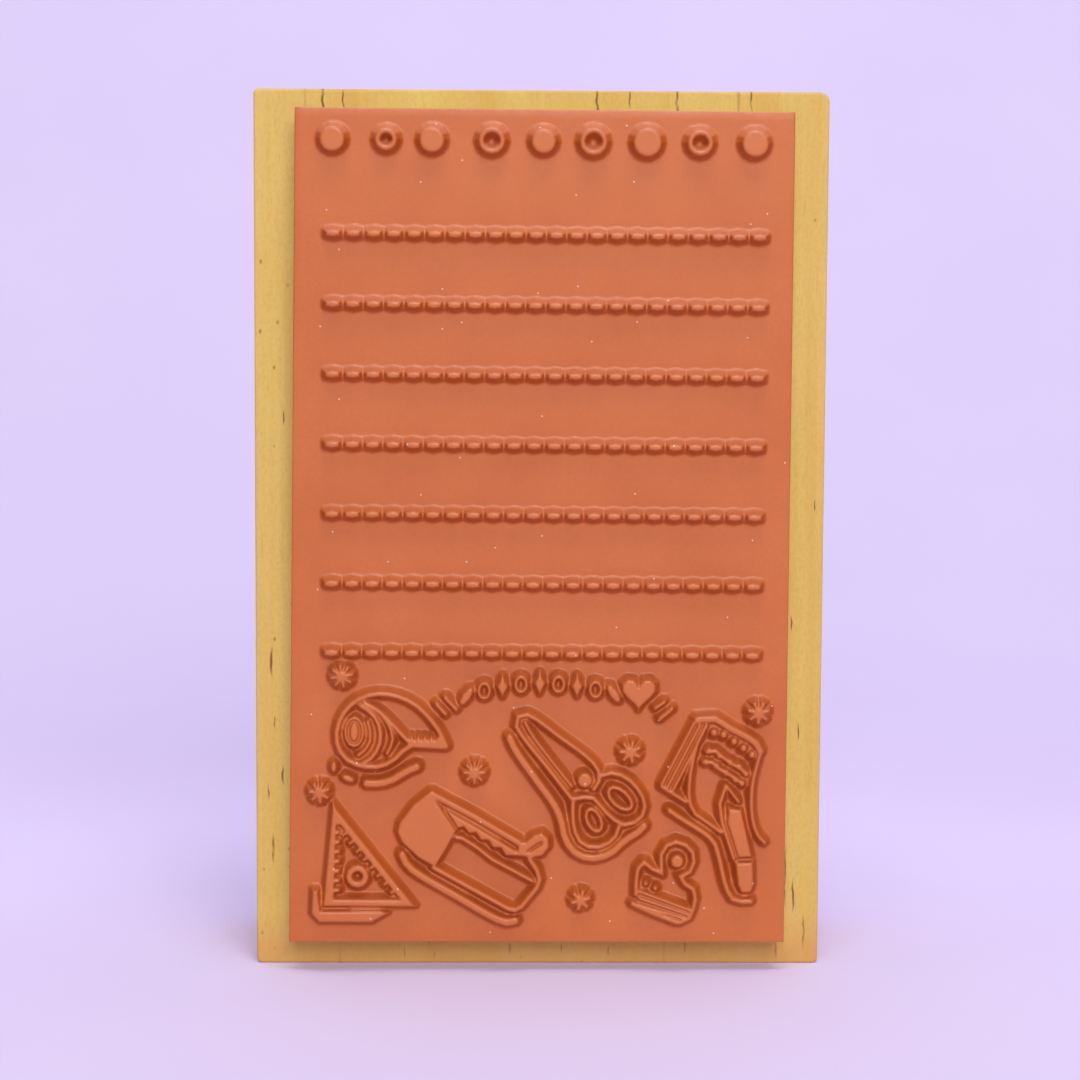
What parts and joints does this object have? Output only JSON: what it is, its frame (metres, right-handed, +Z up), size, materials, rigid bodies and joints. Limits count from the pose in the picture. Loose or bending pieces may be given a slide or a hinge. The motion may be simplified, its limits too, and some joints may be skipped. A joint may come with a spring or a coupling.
{
  "type": "rubber stamp",
  "caption": "Wood-mounted rubber stamp: pine block, foam cushion and a moulded rubber die with a memo-page pattern in relief.",
  "frame": {"origin": "under the middle of the whole stamp, standing on its short end", "axes": "+Z up along the block's long side, X across its width, -Y out of the printing face, +Y out of the labelled back"},
  "size_m": [0.0598, 0.0252, 0.092],
  "materials": {
    "pine": "satin",
    "adhesive_film": "satin",
    "foam": "matte",
    "die_rubber": "matte",
    "label_paper": "matte",
    "index_ink": "matte"
  },
  "bodies": {
    "block": {"wood_block": "pine", "block_adhesive": "adhesive_film", "foam_cushion": "foam", "index_label": "label_paper"},
    "die": {"die_adhesive": "adhesive_film", "rubber_die": "die_rubber"}
  },
  "joints": [
    {"name": "cushion_press", "type": "slide", "parent": "block", "child": "die", "axis": [0, 1, 0], "range_m": [0, 0.00075], "stiffness_N_per_m": 100000, "deforming": ["foam_cushion"]}
  ]
}
